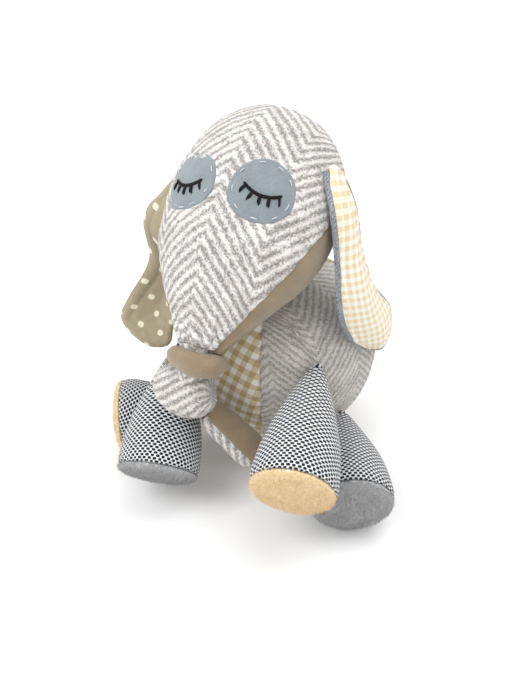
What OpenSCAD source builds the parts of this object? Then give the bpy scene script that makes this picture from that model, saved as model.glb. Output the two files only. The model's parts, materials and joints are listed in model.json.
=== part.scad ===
// Sitting patchwork elephant: a stuffed torso, a heavy teardrop head with a knotted
// trunk, two floppy ears and four cone limbs with plush pads, each piece a solid of its own.
// It faces -Y, its own left is +X, and it sits on z = 0 below the middle of its torso.

/* [Torso] */
// Width across the hips
torso_width = 114; // [100:1:137]
// Depth from tummy to back
torso_depth = 112; // [100:1:135]
// Height from the seat to the gathered neck end
torso_height = 107; // [98:1:122]
// Half width of the tummy panel at the hips
tummy_half_width = 19; // [14:0.5:25]
// Half width of the back panel at the hips
back_half_width = 36; // [26:0.5:44]
// Diameter of the sack of pellets that weighs down the seat
pellet_bag_width = 60; // [46:1:66]

/* [Head] */
// Width across the forehead
head_width = 86; // [76:1:96]
// Thickness from the face to the underside
head_thickness = 76; // [66:1:86]
// Length from the middle of the forehead to the pinch above the trunk
muzzle_length = 81; // [70:1:92]
// Angle of the face below level
head_droop = 42.5; // [38:0.5:46]
// Diameter of a felt eye patch
eye_diameter = 32; // [26:0.5:36]
// Thickness of the felt of an eye patch
felt_thickness = 1.2; // [0.8:0.1:2]
// Radius of the ring of ladder stitches that ties the head on
neck_radius = 12; // [9:0.5:13]

/* [Limbs] */
// Length of an arm from its gathered point to its pad seam
arm_length = 70; // [60:1:80]
// Length of the left leg
leg_length = 58; // [50:1:67]
// Length of the part of the right leg that isn't folded under the hip
folded_leg_length = 44; // [40:1:56]
// Radius of a plush pad
pad_radius = 21; // [17.5:0.5:22]
// How far a pad bulges
pad_bulge = 4; // [2:0.5:5]
// Length of the sewn tab that ties a limb to the torso
tab_length = 4.5; // [4:0.5:7]

/* [Ears] */
// Thickness of both layers of an ear together
ear_thickness = 3.4; // [2.6:0.2:4.2]
// Drop of an ear from its seam to its lower edge
ear_drop = 108; // [90:1:120]

/* [Trunk] */
// Width of the knot across its widest turn
knot_width = 33; // [28:0.5:37]
// Length of the loose end below the knot
tip_length = 37; // [30:1:42]

/* [Cloth] */
// Thickness of the woven panels
cloth = 1.4; // [1:0.1:2]
// Gap kept between pieces that lie against each other
gap = 0.3; // [0.2:0.05:0.4]

/* [Hidden] */

// ---- Curves, grids and closed shells ----

// Point on a smooth curve through every entry of p, for t from 0 to 1
function spline(p, t) =
    let (n = len(p) - 1, u = min(max(t, 0), 1) * n, i = min(floor(u), n - 1), f = u - i,
         a = p[max(i - 1, 0)], b = p[i], c = p[i + 1], d = p[min(i + 2, n)])
    b + 0.5 * f * (c - a + f * (2 * a - 5 * b + 4 * c - d + f * (3 * (b - c) + d - a)));

function lerp(a, b, t) = a + (b - a) * t;
function unit(v) = v / norm(v);
function flatten(rows) = [for (row = rows) each row];
function middle(ring) = [for (k = [0:2]) [for (p = ring) p[k]] * [for (p = ring) 1] / len(ring)];
function quad(a, b, c, d) = [[a, b, c], [a, c, d]];

// Direction turned left of -Y by turn and tipped below level by droop
function heading(turn, droop) = [sin(turn) * cos(droop), -cos(turn) * cos(droop), -sin(droop)];

// Closed slab between two grids that have the same rows and columns
module slab(outer, inner) {
    n = len(outer);
    m = len(outer[0]);
    k = n * m;
    polyhedron(
        concat(flatten(outer), flatten(inner)),
        concat(
            [for (i = [0:n - 2], j = [0:m - 2], a = i * m + j)
                each quad(a, a + 1, a + m + 1, a + m)],
            [for (i = [0:n - 2], j = [0:m - 2], a = k + i * m + j)
                each quad(a, a + m, a + m + 1, a + 1)],
            [for (i = [0:n - 2], a = i * m) each quad(a, a + m, k + a + m, k + a)],
            [for (i = [0:n - 2], a = i * m + m - 1) each quad(a, k + a, k + a + m, a + m)],
            [for (j = [0:m - 2]) each quad(j, k + j, k + j + 1, j + 1)],
            [for (j = [0:m - 2], a = (n - 1) * m + j) each quad(a, a + 1, k + a + 1, k + a)]
        ),
        convexity = 8
    );
}

// Closed solid through rings that have the same number of points
module loft(rings) {
    n = len(rings);
    m = len(rings[0]);
    polyhedron(
        concat(flatten(rings), [middle(rings[0]), middle(rings[n - 1])]),
        concat(
            [for (i = [0:n - 2], j = [0:m - 1], a = i * m, b = (j + 1) % m)
                each quad(a + j, a + b, a + m + b, a + m + j)],
            [for (j = [0:m - 1]) [n * m, (j + 1) % m, j]],
            [for (j = [0:m - 1]) [n * m + 1, (n - 1) * m + j, (n - 1) * m + (j + 1) % m]]
        ),
        convexity = 8
    );
}

// Rings round a path; each station is [point, half width, half depth], and its width
// lies along side
function path_rings(stations, side, count) =
    let (n = len(stations) - 1)
    [for (i = [0:n])
        let (along = unit(stations[min(i + 1, n)][0] - stations[max(i - 1, 0)][0]),
             front = unit(cross(along, side)), across = cross(front, along))
        [for (j = [0:count - 1])
            stations[i][0] + stations[i][1] * cos(360 * j / count) * across
                - stations[i][2] * sin(360 * j / count) * front]];

// Stations sampled along a smooth curve through the given ones
function smooth(stations, count) = [for (i = [0:count]) spline(stations, i / count)];

// ---- Torso ----

// Outline from seat to neck, as [share of the half width, share of the height]
TORSO_OUTLINE = [[0.20, 0], [0.36, 0.025], [0.55, 0.095], [0.78, 0.225], [0.945, 0.38],
                 [1, 0.55], [0.95, 0.73], [0.78, 0.89], [0.50, 0.975], [0.2, 1]];
TORSO_ROWS = 16;
ARM_ROW = 0.65;
LEG_ROW = 0.425;
FOLDED_LEG_ROW = 0.36;

// Point on the torso at curve position t, turned round from the tummy, set in by inset
function torso_point(t, turn, inset = 0) =
    let (r = spline(TORSO_OUTLINE, t),
         step = spline(TORSO_OUTLINE, t + 0.02) - spline(TORSO_OUTLINE, t - 0.02),
         lean = unit([step[1] * torso_height, -step[0] * torso_width / 2]))
    [(r[0] * torso_width / 2 - inset * lean[0]) * sin(turn),
     -(r[0] * torso_depth / 2 - inset * lean[0]) * cos(turn),
     r[1] * torso_height - inset * lean[1]];

// Half angle of a gore of the given half width; it narrows to both ends
function gore(half_width, t) = asin(2 * half_width / torso_width) * (0.8 + 0.2 * sin(180 * t));

// Seam angle round the torso as seen from the tummy, for the gore at the front and the back
function tummy_seam(t) = gore(tummy_half_width, t);
function back_seam(t) = 180 - gore(back_half_width, t);

// Panel between two seams, each a function of t
module torso_panel(from, to, columns) {
    grids = [for (inset = [0, cloth])
        [for (i = [0:TORSO_ROWS]) let (t = i / TORSO_ROWS)
            [for (j = [0:columns])
                torso_point(t, lerp(from(t), to(t), j / columns), inset)]]];
    slab(grids[1], grids[0]);
}

seam_gap = 0.25;
stuffing_play = 0.9;

module tummy_panel() {
    color("#d8c29c")
        torso_panel(function(t) -tummy_seam(t) + seam_gap, function(t) tummy_seam(t) - seam_gap, 6);
}

module side_panel(side) {
    color("#9a958f")
        mirror([side < 0 ? 1 : 0, 0, 0])
            torso_panel(function(t) tummy_seam(t) + seam_gap, function(t) back_seam(t) - seam_gap, 11);
}

module back_panel() {
    color("#8f8a68")
        torso_panel(function(t) back_seam(t) + seam_gap, function(t) 360 - back_seam(t) - seam_gap, 9);
}

// Small disc that closes the bottom where the four gores meet
module seat_disc() {
    color("#9a958f")
        cylinder(cloth, $fn = 48,
                 r = TORSO_OUTLINE[0][0] * min(torso_width, torso_depth) / 2 - 2 * gap);
}

bag_radius = pellet_bag_width / 2;
bag_centre = [0, 4, bag_radius * 0.8 + 10];

module torso_stuffing() {
    color("#f2f0ea")
        difference() {
            loft([for (i = [0:TORSO_ROWS])
                [for (j = [0:29]) torso_point(i / TORSO_ROWS, -12 * j, cloth + stuffing_play)]]);
            translate(bag_centre) bag_shape(bag_radius + gap);
        }
}

// Sack with a flattened foot, so that it stays a body of revolution
module bag_shape(r) {
    rotate_extrude($fn = 48)
        intersection() {
            circle(r, $fn = 48);
            translate([0, -0.8 * r]) square([r, 1.5 * r]);
        }
}

module pellet_bag() {
    color("#d9d2c0") translate(bag_centre) bag_shape(bag_radius);
}

// Folded blank tab caught in the seam low on the left of the tummy
tag_size = [8, 1.6, 11];
TAG_ROW = 0.22;
TAG_TURN = 27;

module leather_tag() {
    anchor = torso_point(TAG_ROW, TAG_TURN, -gap - 2);
    color("#b06a34")
        translate(anchor)
            rotate([28, 0, TAG_TURN])
                translate([-tag_size[0] / 2, -tag_size[1], -tag_size[2] / 2]) cube(tag_size);
}

// ---- Neck ----

neck_play = 1.6;
stitch_radius = 0.5;
neck_pivot = [0, 0, torso_height + gap + stitch_radius];

module neck_stitches() {
    color("#cfcac4")
        translate(neck_pivot)
            rotate_extrude($fn = 48) translate([neck_radius, 0]) circle(stitch_radius, $fn = 16);
}

// ---- Head ----

// Axis from the forehead towards the trunk, and the direction that the face looks in
head_axis = heading(0, head_droop);
face_dir = [0, -sin(head_droop), cos(head_droop)];
HEAD_FORWARD = 20;
head_reach_down = 0.233 * muzzle_length + 0.358 * head_thickness;
head_centre = neck_pivot + [0, -HEAD_FORWARD, head_reach_down + neck_play];

// Outline from crown to pinch: [share of the muzzle length, share of the half width,
// share of the half thickness, lift towards the face]
HEAD_OUTLINE = [[-0.555, 0.10, 0.10, 0], [-0.535, 0.34, 0.34, 0], [-0.45, 0.62, 0.62, 0],
                [-0.27, 0.87, 0.87, 0], [0, 1, 1, 0], [0.26, 0.975, 0.97, 0.5],
                [0.48, 0.86, 0.84, 2.5], [0.68, 0.66, 0.62, 3.5], [0.86, 0.43, 0.40, 2.2],
                [1, 0.25, 0.25, 0]];
HEAD_ROWS = 18;

// Seam between face and underside, as [half angle round the head] from crown to pinch
FACE_SEAM = [152, 140, 128, 112, 90, 76, 73, 72, 71, 70];

function head_point(t, turn, inset = 0) =
    let (r = spline(HEAD_OUTLINE, t),
         step = spline(HEAD_OUTLINE, t + 0.02) - spline(HEAD_OUTLINE, t - 0.02),
         lean = unit([step[0] * muzzle_length, -step[1] * head_width / 2]))
    head_centre + (r[0] * muzzle_length - inset * lean[1]) * head_axis
        + (r[1] * head_width / 2 - inset * lean[0]) * sin(turn) * [1, 0, 0]
        + (r[2] * head_thickness / 2 - inset * lean[0]) * cos(turn) * face_dir
        + r[3] * face_dir;

// Grid over the head between two seams, each a function of t
function head_grid(columns, from, to, inset) =
    [for (i = [0:HEAD_ROWS]) let (t = i / HEAD_ROWS)
        [for (j = [0:columns]) head_point(t, lerp(from(t), to(t), j / columns), inset)]];

module head_panel(from, to, columns) {
    slab(head_grid(columns, from, to, 0), head_grid(columns, from, to, cloth));
}

module face_panel() {
    color("#c9c4bf")
        head_panel(function(t) -spline(FACE_SEAM, t) + seam_gap,
                   function(t) spline(FACE_SEAM, t) - seam_gap, 18);
}

module under_panel() {
    color("#9b8468")
        head_panel(function(t) spline(FACE_SEAM, t) + seam_gap,
                   function(t) 360 - spline(FACE_SEAM, t) - seam_gap, 16);
}

module head_stuffing() {
    color("#f2f0ea")
        loft([for (i = [0:HEAD_ROWS])
            [for (j = [0:29]) head_point(i / HEAD_ROWS, 12 * j, cloth + stuffing_play)]]);
}

// ---- Eyes ----

EYE_TURN = 26;
stitch_count = 8;
thread_radius = 0.4;

// The hand-sewn eyes don't sit quite level
function eye_row(side) = side > 0 ? 0.497 : 0.513;

// Point on the face, dx round the head and dy towards the trunk from the middle of an eye
function eye_point(side, dx, dy, lift) =
    let (t = eye_row(side), r = spline(HEAD_OUTLINE, t),
         step = spline(HEAD_OUTLINE, t + 0.02) - spline(HEAD_OUTLINE, t - 0.02),
         row_length = norm([step[0] * muzzle_length, step[1] * head_width / 2]) / 0.04)
    head_point(t + dy / row_length,
               side * (EYE_TURN + dx / (r[1] * head_width / 2) * 180 / PI), -lift);

function disc_ring(side, r, lift) =
    [for (j = [0:23]) eye_point(side, r * cos(15 * j), r * sin(15 * j), lift)];

module eye_patch(side) {
    radius = eye_diameter / 2;
    rings = concat([for (share = [0.3, 0.65, 1]) disc_ring(side, share * radius, gap)],
                   [for (share = [1, 0.65, 0.3])
                       disc_ring(side, share * radius, gap + felt_thickness)]);
    color("#8fa1ab") loft(side > 0 ? rings : [for (i = [5:-1:0]) rings[i]]);
}

// Thread laid on the felt through points given as [dx, dy]
module thread(side, points, radius) {
    lift = 2 * gap + felt_thickness + radius;
    path = [for (q = points) [eye_point(side, q[0], q[1], lift), radius, radius]];
    loft(path_rings(path, face_dir, 6));
}

module eye_stitches(side) {
    radius = eye_diameter / 2 - 2.6;
    half = 90 / stitch_count * 0.9;
    color("#eef1f2")
        for (k = [0:stitch_count - 1])
            thread(side, [for (a = [-half, 0, half])
                radius * [cos(360 / stitch_count * k + a), sin(360 / stitch_count * k + a)]],
                thread_radius);
}

// Closed lid: a shallow arc with five short lashes below it
lid_half = 9;
lid_sag = 3.2;
lash_length = 4;

function lid_height(x) = lid_sag * (1 - pow(x / lid_half, 2)) - 1;

module eyelashes(side) {
    color("#17181a") {
        thread(side, [for (k = [-4:4]) [lid_half * k / 4, lid_height(lid_half * k / 4)]], 0.7);
        for (k = [-2:2])
            let (x = 0.88 * lid_half * k / 2, y = lid_height(x) + 1.3)
                thread(side, [[x, y], [x * 1.22, y + lash_length]], 0.6);
    }
}

// ---- Ears ----

// An ear's pattern: rows from its seam down, each with three points across it, from its root
EAR_LEFT = [[[-2, -7, 1], [0, 0, 0], [0, 6, -3]],
            [[8, -15, -19], [9.5, -5, -19], [8.5, 6, -19]],
            [[12, -16, -45], [14.5, -3, -46], [11.5, 12, -46]],
            [[15, -16, -67], [19, 4, -71], [14.5, 23, -71]],
            [[17, -4, -89], [22, 17, -93], [18, 41, -93]],
            [[19, 11, -101], [22, 26, -109], [19, 45, -108]]];
EAR_RIGHT = [[[0, -7, -8], [-1, 0, 0], [-0.5, 7, 7]],
             [[-4, -7, -22], [-13, -4, -17], [-21, 0, -15]],
             [[-6, -5, -43], [-18, -7, -38], [-32, -5, -32]],
             [[-8, -3, -64], [-18, 2, -62], [-31, -5, -58]],
             [[-15, -7, -90], [-28, -1, -90], [-45, -9, -85]],
             [[-16, -9, -111], [-32, -13, -113], [-54, -11, -103]]];
EAR_PATTERN_DROP = 108;
EAR_PATTERN_TORSO = 114;
ear_left_root = head_centre + [head_width / 2 - 4, 4, 0.58 * head_thickness / 2];
ear_right_root = head_centre + [-head_width / 2 - 2, 11, 2];

// Below the head an ear hangs beside the torso, so it moves out as the torso gets wider
function ear_lean(root, t) =
    [sign(root[0]) * (torso_width - EAR_PATTERN_TORSO) / 2 * min(1, 2.5 * t), 0, 0];

// Layer of an ear between two distances from its middle sheet
module ear_layer(pattern, root, near, far) {
    sheet = [for (i = [0:14]) let (row = spline(pattern, i / 14))
        [for (j = [0:8]) root + ear_drop / EAR_PATTERN_DROP * spline(row, j / 8)
            + ear_lean(root, i / 14)]];
    normals = [for (i = [0:14])
        [for (j = [0:8])
            unit(cross(sheet[min(i + 1, 14)][j] - sheet[max(i - 1, 0)][j],
                       sheet[i][min(j + 1, 8)] - sheet[i][max(j - 1, 0)]))]];
    slab([for (i = [0:14]) sheet[i] + far * normals[i]],
         [for (i = [0:14]) sheet[i] + near * normals[i]]);
}

module ear_left_outside() {
    color("#ecd9a6") ear_layer(EAR_LEFT, ear_left_root, gap / 2, ear_thickness / 2);
}

module ear_left_inside() {
    color("#5d6674") ear_layer(EAR_LEFT, ear_left_root, -ear_thickness / 2, -gap / 2);
}

module ear_right_outside() {
    color("#ecd9a6") ear_layer(EAR_RIGHT, ear_right_root, gap / 2, ear_thickness / 2);
}

module ear_right_inside() {
    color("#8f8a68") ear_layer(EAR_RIGHT, ear_right_root, -ear_thickness / 2, -gap / 2);
}

// ---- Trunk ----

// The pinched end of the head, from which the knot hangs
pinch = head_centre + muzzle_length * head_axis;
knot_scale = knot_width / 33;

// Stations are [point from the pinch, half width, half depth]
BAND = [[[-15.5, 3, -11.5], 2.6, 2.6], [[-12, -4, -9], 4, 4], [[-5, -9, -6.5], 5.3, 5],
        [[4, -10, -6], 6, 5], [[11, -5, -7.5], 6.2, 4.5], [[12.5, 3, -11], 3, 3]];
KNOT = [[[-24, -1, -27], 4, 4], [[-22, -1.6, -27], 8.5, 8], [[-15.5, -2.4, -27.5], 13, 12],
        [[-8, -3, -28], 14.3, 13], [[-1, -3, -28], 13.3, 12.5], [[5.5, -2.4, -27.5], 9.5, 9],
        [[8, -2, -27], 4, 4]];
ROLL = [[[-15, 10, -16.5], 2.2, 2.2], [[-20, 9, -18.5], 3.2, 3.2], [[-23.5, 7.5, -22], 3.2, 3.4],
        [[-23, 7.5, -28], 3, 3.2], [[-18, 9.5, -32], 2.8, 2.8], [[-12, 10.5, -34.5], 2, 2]];

module knot_part(stations, side, count, grow = 0) {
    placed = [for (s = stations)
        [pinch + knot_scale * s[0], knot_scale * s[1] + grow, knot_scale * s[2] + grow]];
    loft(path_rings(smooth(placed, 3 * (len(stations) - 1)), side, count));
}

module knot_body(grow = 0) {
    knot_part(KNOT, [0, 0, 1], 22, grow);
}

module trunk_knot() {
    color("#c9c4bf") knot_body();
}

module trunk_band() {
    color("#9b8468")
        difference() {
            knot_part(BAND, [0, 0, 1], 14);
            knot_body(gap);
        }
}

module trunk_roll() {
    color("#9b8468")
        difference() {
            knot_part(ROLL, [0, 0, 1], 14);
            knot_body(gap);
        }
}

// Loose end: a flattened tongue with a blunt end, tan in front and tweed behind
tip_root = pinch + knot_scale * [1.5, 3, -41.8];
tip_dir = unit([0.605, 0.27, -0.75]);
tip_side = unit([0, 0.943, 0.333]);
TIP = [[0, 5.6, 2.6], [0.12, 8, 3.8], [0.5, 9, 4.2], [0.88, 9.4, 4.2], [1, 8.4, 3.2]];

// Half of the tongue: face is 1 for the front and -1 for the back
module tip_half(face) {
    front = face * unit(cross(tip_dir, tip_side));
    rows = smooth(TIP, 10);
    centre = [for (r = rows) tip_root + r[0] * tip_length * tip_dir + gap / 2 * front];
    inner = [for (i = [0:10]) [for (u = [-1:0.25:1])
        centre[i] + rows[i][1] * sin(90 * u) * tip_side]];
    outer = [for (i = [0:10]) [for (u = [-1:0.25:1])
        centre[i] + rows[i][1] * sin(90 * u) * tip_side
            + (0.6 + rows[i][2] * cos(90 * u)) * front]];
    slab(face > 0 ? outer : inner, face > 0 ? inner : outer);
}

module trunk_tip_lining() {
    color("#9b8468") tip_half(1);
}

module trunk_tip_face() {
    color("#c9c4bf") tip_half(-1);
}

// ---- Limbs ----

// Each limb: [row on the torso, turn round it, turn of its length, droop, length]
ARM_LEFT = [ARM_ROW, 50, 16.5, 22, arm_length];
ARM_RIGHT = [ARM_ROW - 0.03, -37, 18.5, 39, arm_length - 1];
LEG_LEFT = [LEG_ROW, 70, 31, 13.3, leg_length];
LEG_RIGHT = [FOLDED_LEG_ROW, -30, -61, 5, folded_leg_length];

tab_radius = tab_length / 2;
sleeve_start_radius = 3.2;
sleeve_start = tab_radius + gap;
PROFILE_STEPS = 9;

// Put a limb's pieces with +Z along it and its tab at the origin
module along_limb(limb) {
    d = heading(limb[2], limb[3]);
    translate(torso_point(limb[0], limb[1], -tab_radius - gap))
        rotate([0, acos(d[2]), atan2(d[1], d[0])]) children();
}

// Radius and place along the limb at share u of its length
function sleeve_point(length, u, inset = 0) =
    [sleeve_start_radius + (pad_radius - sleeve_start_radius) * sin(90 * u) - inset,
     sleeve_start + length * u];

function sleeve_line(length, inset) =
    [for (k = [0:PROFILE_STEPS]) sleeve_point(length, k / PROFILE_STEPS, inset)];

module limb_tab(limb) {
    color("#e8e8e6") along_limb(limb) sphere(tab_radius, $fn = 32);
}

module limb_sleeve(limb) {
    inside = sleeve_line(limb[4], cloth);
    color("#c3c7cc")
        along_limb(limb)
            rotate_extrude($fn = 48)
                polygon(concat(sleeve_line(limb[4], 0),
                               [for (k = [PROFILE_STEPS:-1:0]) inside[k]]));
}

module limb_stuffing(limb) {
    line = [for (p = sleeve_line(limb[4], cloth + gap)) [p[0], p[1] - gap]];
    color("#f2f0ea")
        along_limb(limb)
            rotate_extrude($fn = 48)
                polygon(concat([[0, line[0][1]]], line, [[0, line[PROFILE_STEPS][1]]]));
}

// Plush pad: a shallow dome over the open end of the sleeve
module limb_pad(limb, shade) {
    base = sleeve_start + limb[4] + gap;
    dome = [for (k = [0:6]) let (a = 15 * k)
        [pad_radius * cos(a), base + 1.2 + pad_bulge * sin(a)]];
    color(shade)
        along_limb(limb)
            rotate_extrude($fn = 48) polygon(concat([[0, base], [pad_radius, base]], dome));
}

// ---- Tail ----

TAIL = [[[0, 0, 2], 2.6, 2.6], [[0, 3, -5], 3, 3], [[1, 6, -14], 2.6, 2.6],
        [[2, 8, -22], 2.4, 2.4], [[3, 9, -27], 4, 3], [[3.5, 9.5, -33], 3, 2]];
TAIL_ROW = 0.42;

module tail() {
    root = torso_point(TAIL_ROW, 180, -3.4);
    color("#8f8a68")
        loft(path_rings(smooth([for (s = TAIL) [root + s[0], s[1], s[2]]], 12), [1, 0, 0], 10));
}

tummy_panel();
side_panel(1);  // side_panel_left
side_panel(-1);  // side_panel_right
back_panel();
seat_disc();
torso_stuffing();
pellet_bag();
leather_tag();
neck_stitches();
face_panel();
under_panel();
head_stuffing();
eye_patch(1);  // eye_patch_left
eye_patch(-1);  // eye_patch_right
eye_stitches(1);  // eye_stitches_left
eye_stitches(-1);  // eye_stitches_right
eyelashes(1);  // eyelashes_left
eyelashes(-1);  // eyelashes_right
ear_left_outside();
ear_left_inside();
ear_right_outside();
ear_right_inside();
trunk_band();
trunk_knot();
trunk_roll();
trunk_tip_face();
trunk_tip_lining();
limb_tab(ARM_LEFT);  // arm_left_tab
limb_sleeve(ARM_LEFT);  // arm_left_sleeve
limb_pad(ARM_LEFT, "#dcb57f");  // arm_left_pad
limb_stuffing(ARM_LEFT);  // arm_left_stuffing
limb_tab(ARM_RIGHT);  // arm_right_tab
limb_sleeve(ARM_RIGHT);  // arm_right_sleeve
limb_pad(ARM_RIGHT, "#8c8c92");  // arm_right_pad
limb_stuffing(ARM_RIGHT);  // arm_right_stuffing
limb_tab(LEG_LEFT);  // leg_left_tab
limb_sleeve(LEG_LEFT);  // leg_left_sleeve
limb_pad(LEG_LEFT, "#8c8c92");  // leg_left_pad
limb_stuffing(LEG_LEFT);  // leg_left_stuffing
limb_tab(LEG_RIGHT);  // leg_right_tab
limb_sleeve(LEG_RIGHT);  // leg_right_sleeve
limb_pad(LEG_RIGHT, "#dcb57f");  // leg_right_pad
limb_stuffing(LEG_RIGHT);  // leg_right_stuffing
tail();
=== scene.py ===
# Patchwork elephant: the cloth, felt, plush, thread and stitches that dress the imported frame.
# Shapes are worked out in millimetres, as the patterns are cut, and placed in metres.
import json
import math
import random

import bmesh
import bpy
from mathutils import Euler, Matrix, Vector, noise


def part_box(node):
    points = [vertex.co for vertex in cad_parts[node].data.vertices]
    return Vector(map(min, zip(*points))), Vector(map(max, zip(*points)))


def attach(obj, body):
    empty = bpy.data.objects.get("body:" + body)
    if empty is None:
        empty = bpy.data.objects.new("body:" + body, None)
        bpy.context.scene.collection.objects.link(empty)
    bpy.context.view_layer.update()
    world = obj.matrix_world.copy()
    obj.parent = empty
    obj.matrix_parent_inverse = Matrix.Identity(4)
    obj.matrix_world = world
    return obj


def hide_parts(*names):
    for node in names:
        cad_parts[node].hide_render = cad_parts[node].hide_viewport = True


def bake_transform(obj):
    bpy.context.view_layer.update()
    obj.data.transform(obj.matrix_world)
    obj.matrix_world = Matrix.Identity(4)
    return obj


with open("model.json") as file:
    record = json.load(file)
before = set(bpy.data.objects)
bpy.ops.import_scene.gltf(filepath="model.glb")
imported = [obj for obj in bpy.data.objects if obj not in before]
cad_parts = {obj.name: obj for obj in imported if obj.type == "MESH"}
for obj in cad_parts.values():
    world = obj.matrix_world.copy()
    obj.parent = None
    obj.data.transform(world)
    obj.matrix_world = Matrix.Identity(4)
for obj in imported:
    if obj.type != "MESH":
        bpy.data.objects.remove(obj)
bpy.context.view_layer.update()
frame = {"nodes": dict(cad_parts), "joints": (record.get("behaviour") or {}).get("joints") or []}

MM = 0.001
JOINTS = {j["name"]: Vector(j["pos_m"]) / MM for j in frame["joints"]}


def box_mm(node):
    """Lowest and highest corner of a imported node, in millimetres."""
    low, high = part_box(node)
    return low / MM, high / MM


# ---- Driving sizes, read from the frame ----

SIDE_HIGH = box_mm("side_panel_left")[1]
TORSO_WIDTH = 2 * SIDE_HIGH.x
TORSO_DEPTH = 2 * box_mm("back_panel")[1].y
TORSO_HEIGHT = SIDE_HIGH.z
TUMMY_HALF_WIDTH = 19
BACK_HALF_WIDTH = 36
HEAD_WIDTH = 2 * box_mm("face_panel")[1].x
HEAD_THICKNESS = 76
MUZZLE_LENGTH = 81
HEAD_DROOP = math.radians(42.5)
PINCH = JOINTS["trunk_swing"]
CLOTH = 1.4


def heading(turn, droop):
    """Direction turned left of -Y by turn and tipped below level by droop, in degrees."""
    a, b = math.radians(turn), math.radians(droop)
    return Vector((math.sin(a) * math.cos(b), -math.cos(a) * math.cos(b), -math.sin(b)))


HEAD_AXIS = Vector((0, -math.cos(HEAD_DROOP), -math.sin(HEAD_DROOP)))
FACE_DIR = Vector((0, -math.sin(HEAD_DROOP), math.cos(HEAD_DROOP)))
HEAD_CENTRE = PINCH - MUZZLE_LENGTH * HEAD_AXIS


# ---- Curves and noise ----


def spline(points, t):
    """Point on a smooth curve through every entry of points, for t from 0 to 1."""
    n = len(points) - 1
    u = min(max(t, 0), 1) * n
    i = min(int(u), n - 1)
    f = u - i
    a, b, c, d = (points[k] for k in (max(i - 1, 0), i, i + 1, min(i + 2, n)))
    if not hasattr(a, "__len__"):
        return b + 0.5 * f * (c - a + f * (2 * a - 5 * b + 4 * c - d + f * (3 * (b - c) + d - a)))
    return Vector([b[k] + 0.5 * f * (c[k] - a[k] + f * (2 * a[k] - 5 * b[k] + 4 * c[k] - d[k]
                   + f * (3 * (b[k] - c[k]) + d[k] - a[k]))) for k in range(len(b))])


def lerp(a, b, t):
    """Value or point that lies t of the way from a to b."""
    return a + (b - a) * t


def bump(x, width):
    """Smooth bump of height 1 at 0 that dies away beyond width."""
    return math.exp(-(x / width) ** 2)


def lump(p, size, seed=0.0):
    """Soft noise from -1 to 1 whose lumps are size millimetres across."""
    return noise.noise(Vector((p[0] / size + seed, p[1] / size - seed, p[2] / size + 2 * seed)))


# ---- Meshes ----


def new_object(name, verts, faces, cloth=None):
    """Object from points in millimetres; cloth gives each point its place on the flat cloth."""
    mesh = bpy.data.meshes.new(name)
    mesh.from_pydata([Vector(v) * MM for v in verts], [], faces)
    mesh.validate()
    if cloth is not None:
        layer = mesh.attributes.new("cloth", "FLOAT_VECTOR", "POINT")
        layer.data.foreach_set("vector", [c for p in cloth for c in (*p, 0.0)[:3]])
    mesh.polygons.foreach_set("use_smooth", [True] * len(mesh.polygons))
    obj = bpy.data.objects.new(name, mesh)
    bpy.context.scene.collection.objects.link(obj)
    return obj


def grid_faces(rows, columns, wrap=False):
    """Four-sided faces of a grid of points; with wrap the last column meets the first."""
    last = columns if wrap else columns - 1
    return [(i * columns + j, i * columns + (j + 1) % columns,
             (i + 1) * columns + (j + 1) % columns, (i + 1) * columns + j)
            for i in range(rows - 1) for j in range(last)]


def cloth_lengths(rows):
    """Flat place of each point of a grid: across from the middle column, along from the first row."""
    places, along = [], 0.0
    middle = len(rows[0]) // 2
    for i, row in enumerate(rows):
        if i:
            along += (row[middle] - rows[i - 1][middle]).length
        across = [0.0]
        for a, b in zip(row, row[1:]):
            across.append(across[-1] + (b - a).length)
        places += [(x - across[middle], -along) for x in across]
    return places


def cloth_panel(name, rows, cloth=None, thickness=1.2, flip=False):
    """Sheet with thickness behind it through a grid of points."""
    columns = len(rows[0])
    faces = grid_faces(len(rows), columns)
    if flip:
        faces = [f[::-1] for f in faces]
    verts = [p for row in rows for p in row]
    obj = new_object(name, verts, faces, cloth or cloth_lengths(rows))
    solid = obj.modifiers.new("thickness", "SOLIDIFY")
    solid.thickness = thickness * MM
    solid.offset = -1
    return obj


def tube(name, paths, radius, sides=8, ends=0.6):
    """Threads or cords through lists of points, all in one object."""
    verts, faces, cloth = [], [], []
    for path in paths:
        path = [Vector(p) for p in path]
        start, travelled = len(verts), 0.0
        up = Vector((0.2, 0.3, 0.93))
        for i, p in enumerate(path):
            ahead = (path[min(i + 1, len(path) - 1)] - path[max(i - 1, 0)]).normalized()
            side = ahead.cross(up).normalized()
            over = side.cross(ahead)
            r = radius * (ends if i in (0, len(path) - 1) else 1)
            if i:
                travelled += (p - path[i - 1]).length
            for k in range(sides):
                a = 2 * math.pi * k / sides
                verts.append(p + r * (math.cos(a) * side + math.sin(a) * over))
                cloth.append((2 * math.pi * radius * k / sides, travelled))
        n = len(path)
        faces += [tuple(start + x for x in f) for f in grid_faces(n, sides, wrap=True)]
        faces.append(tuple(start + k for k in reversed(range(sides))))
        faces.append(tuple(start + (n - 1) * sides + k for k in range(sides)))
    return new_object(name, verts, faces, cloth)


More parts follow.
